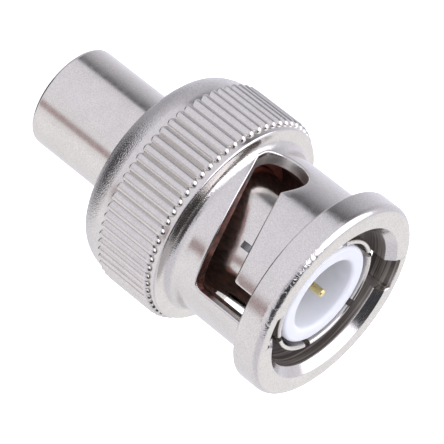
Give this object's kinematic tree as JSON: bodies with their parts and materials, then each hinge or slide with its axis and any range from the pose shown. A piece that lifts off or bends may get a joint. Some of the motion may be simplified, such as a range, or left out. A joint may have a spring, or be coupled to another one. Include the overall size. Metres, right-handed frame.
{
  "type": "bnc terminator",
  "caption": "Coaxial bayonet plug with a knurled coupling nut, slotted contact and centre pin, closed by a round cap that holds its load resistor.",
  "frame": {"origin": "centre of the cap's flat rear end, on which the part stands", "axes": "+Z along the plug's axis towards the mating face; +X through one entry groove of the coupling nut"},
  "size_m": [0.0144, 0.0144, 0.0224],
  "materials": {
    "nickel_plate": "satin nickel plate on turned brass",
    "spring_steel": "bright spring steel",
    "spring_bronze": "plain phosphor bronze",
    "seal_rubber": "dark red silicone rubber",
    "white_insulator": "white fluoropolymer, slightly waxy",
    "gold_plate": "thin gold plate on brass",
    "enamel": "pale blue lacquer on ceramic",
    "tinned_wire": "tinned copper wire",
    "solder": "bright solder"
  },
  "bodies": {
    "plug": {"end_cap": "nickel_plate", "body": "nickel_plate", "retaining_ring": "spring_steel", "wave_washer_rear": "spring_bronze", "wave_washer_front": "spring_bronze", "gasket": "seal_rubber", "outer_contact": "nickel_plate", "insulator": "white_insulator", "centre_pin": "gold_plate", "rear_bead": "white_insulator", "resistor": "enamel", "resistor_sleeve": "white_insulator", "front_lead": "tinned_wire", "rear_lead": "tinned_wire", "front_solder": "solder", "rear_solder": "solder"},
    "washer": {"thrust_washer": "spring_steel"},
    "nut": {"coupling_nut": "nickel_plate"}
  },
  "joints": [
    {"name": "nut_pull", "type": "slide", "parent": "plug", "child": "washer", "axis": [0, 0, 1], "range_m": [0, 0.0014], "stiffness_N_per_m": 4000, "springref_m": -0.0015, "deforming": ["wave_washer_rear", "wave_washer_front"]},
    {"name": "nut_turn", "type": "hinge", "parent": "washer", "child": "nut", "pos_m": [0, 0, 0.00822], "axis": [0, 0, 1], "continuous": true}
  ]
}
